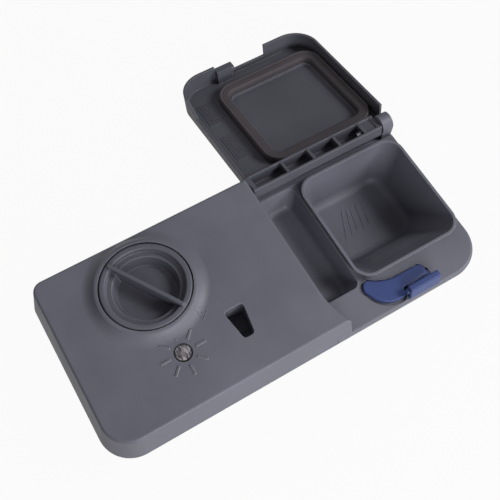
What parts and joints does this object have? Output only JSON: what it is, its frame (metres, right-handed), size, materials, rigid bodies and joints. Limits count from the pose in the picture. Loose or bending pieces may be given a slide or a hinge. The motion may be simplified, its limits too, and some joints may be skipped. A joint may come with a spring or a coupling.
{
  "type": "dishwasher detergent dispenser",
  "caption": "Door-mounted detergent dispenser: panel with a main cup, a pre-wash trough and a rinse-aid tank, with a hinged lid, a latch lever and a quarter-turn cap.",
  "frame": {"origin": "centre of the fixing bosses behind the panel, in the plane of their ends", "axes": "+X along the panel, from the rinse-aid side to the cup; +Y towards the lid's hinge; +Z out of the door"},
  "size_m": [0.23, 0.1933, 0.0484],
  "materials": {
    "panel_plastic": "satin moulded polypropylene, mid grey",
    "lid_plastic": "satin moulded polypropylene, dark grey",
    "cap_plastic": "satin moulded polypropylene, mid grey",
    "gasket_rubber": "dark brown-grey rubber",
    "seal_rubber": "black rubber",
    "blue_plastic": "slate blue moulded plastic",
    "clear_plastic": "pale translucent plastic",
    "tank_plastic": "natural polypropylene",
    "black_plastic": "black moulded plastic",
    "actuator_plastic": "ivory thermoplastic",
    "steel": "stainless steel",
    "zinc_steel": "zinc-plated steel",
    "brass": "tinned brass"
  },
  "bodies": {
    "panel": {"front_panel": "panel_plastic", "panel_seal": "seal_rubber", "level_lens": "clear_plastic", "lens_seal": "seal_rubber", "tank_shell": "tank_plastic", "tank_plug": "seal_rubber", "chassis_plate": "black_plastic", "chassis_screws": "zinc_steel", "actuator_housing": "actuator_plastic", "actuator_terminals": "brass", "actuator_clip": "steel", "clip_screws": "zinc_steel"},
    "lid": {"lid": "lid_plastic", "lid_gasket": "gasket_rubber", "hinge_pins": "steel"},
    "latch": {"latch_lever": "blue_plastic", "latch_crank": "black_plastic", "crank_screw": "zinc_steel"},
    "cap": {"rinse_cap": "cap_plastic", "cap_seal": "seal_rubber"},
    "slide": {"release_slide": "black_plastic", "actuator_plunger": "black_plastic", "valve_pad": "seal_rubber"},
    "dial": {"dose_dial": "black_plastic"}
  },
  "joints": [
    {"name": "lid_hinge", "type": "hinge", "parent": "panel", "child": "lid", "pos_m": [0, 0.047, 0.017], "axis": [1, 0, 0], "range_deg": [0, 192]},
    {"name": "latch_pivot", "type": "hinge", "parent": "panel", "child": "latch", "pos_m": [0.0475, -0.035, 0.006], "axis": [0, 0, 1], "range_deg": [-5, 0]},
    {"name": "cap_turn", "type": "hinge", "parent": "panel", "child": "cap", "pos_m": [-0.059, 0.0201, 0.006], "axis": [0, 0, 1], "range_deg": [0, 90]},
    {"name": "release_stroke", "type": "slide", "parent": "panel", "child": "slide", "axis": [1, 0, 0], "range_m": [0, 0.005]},
    {"name": "dose_turn", "type": "hinge", "parent": "panel", "child": "dial", "pos_m": [-0.059, 0.0201, 0.006], "axis": [0, 0, 1], "range_deg": [0, 150]}
  ]
}
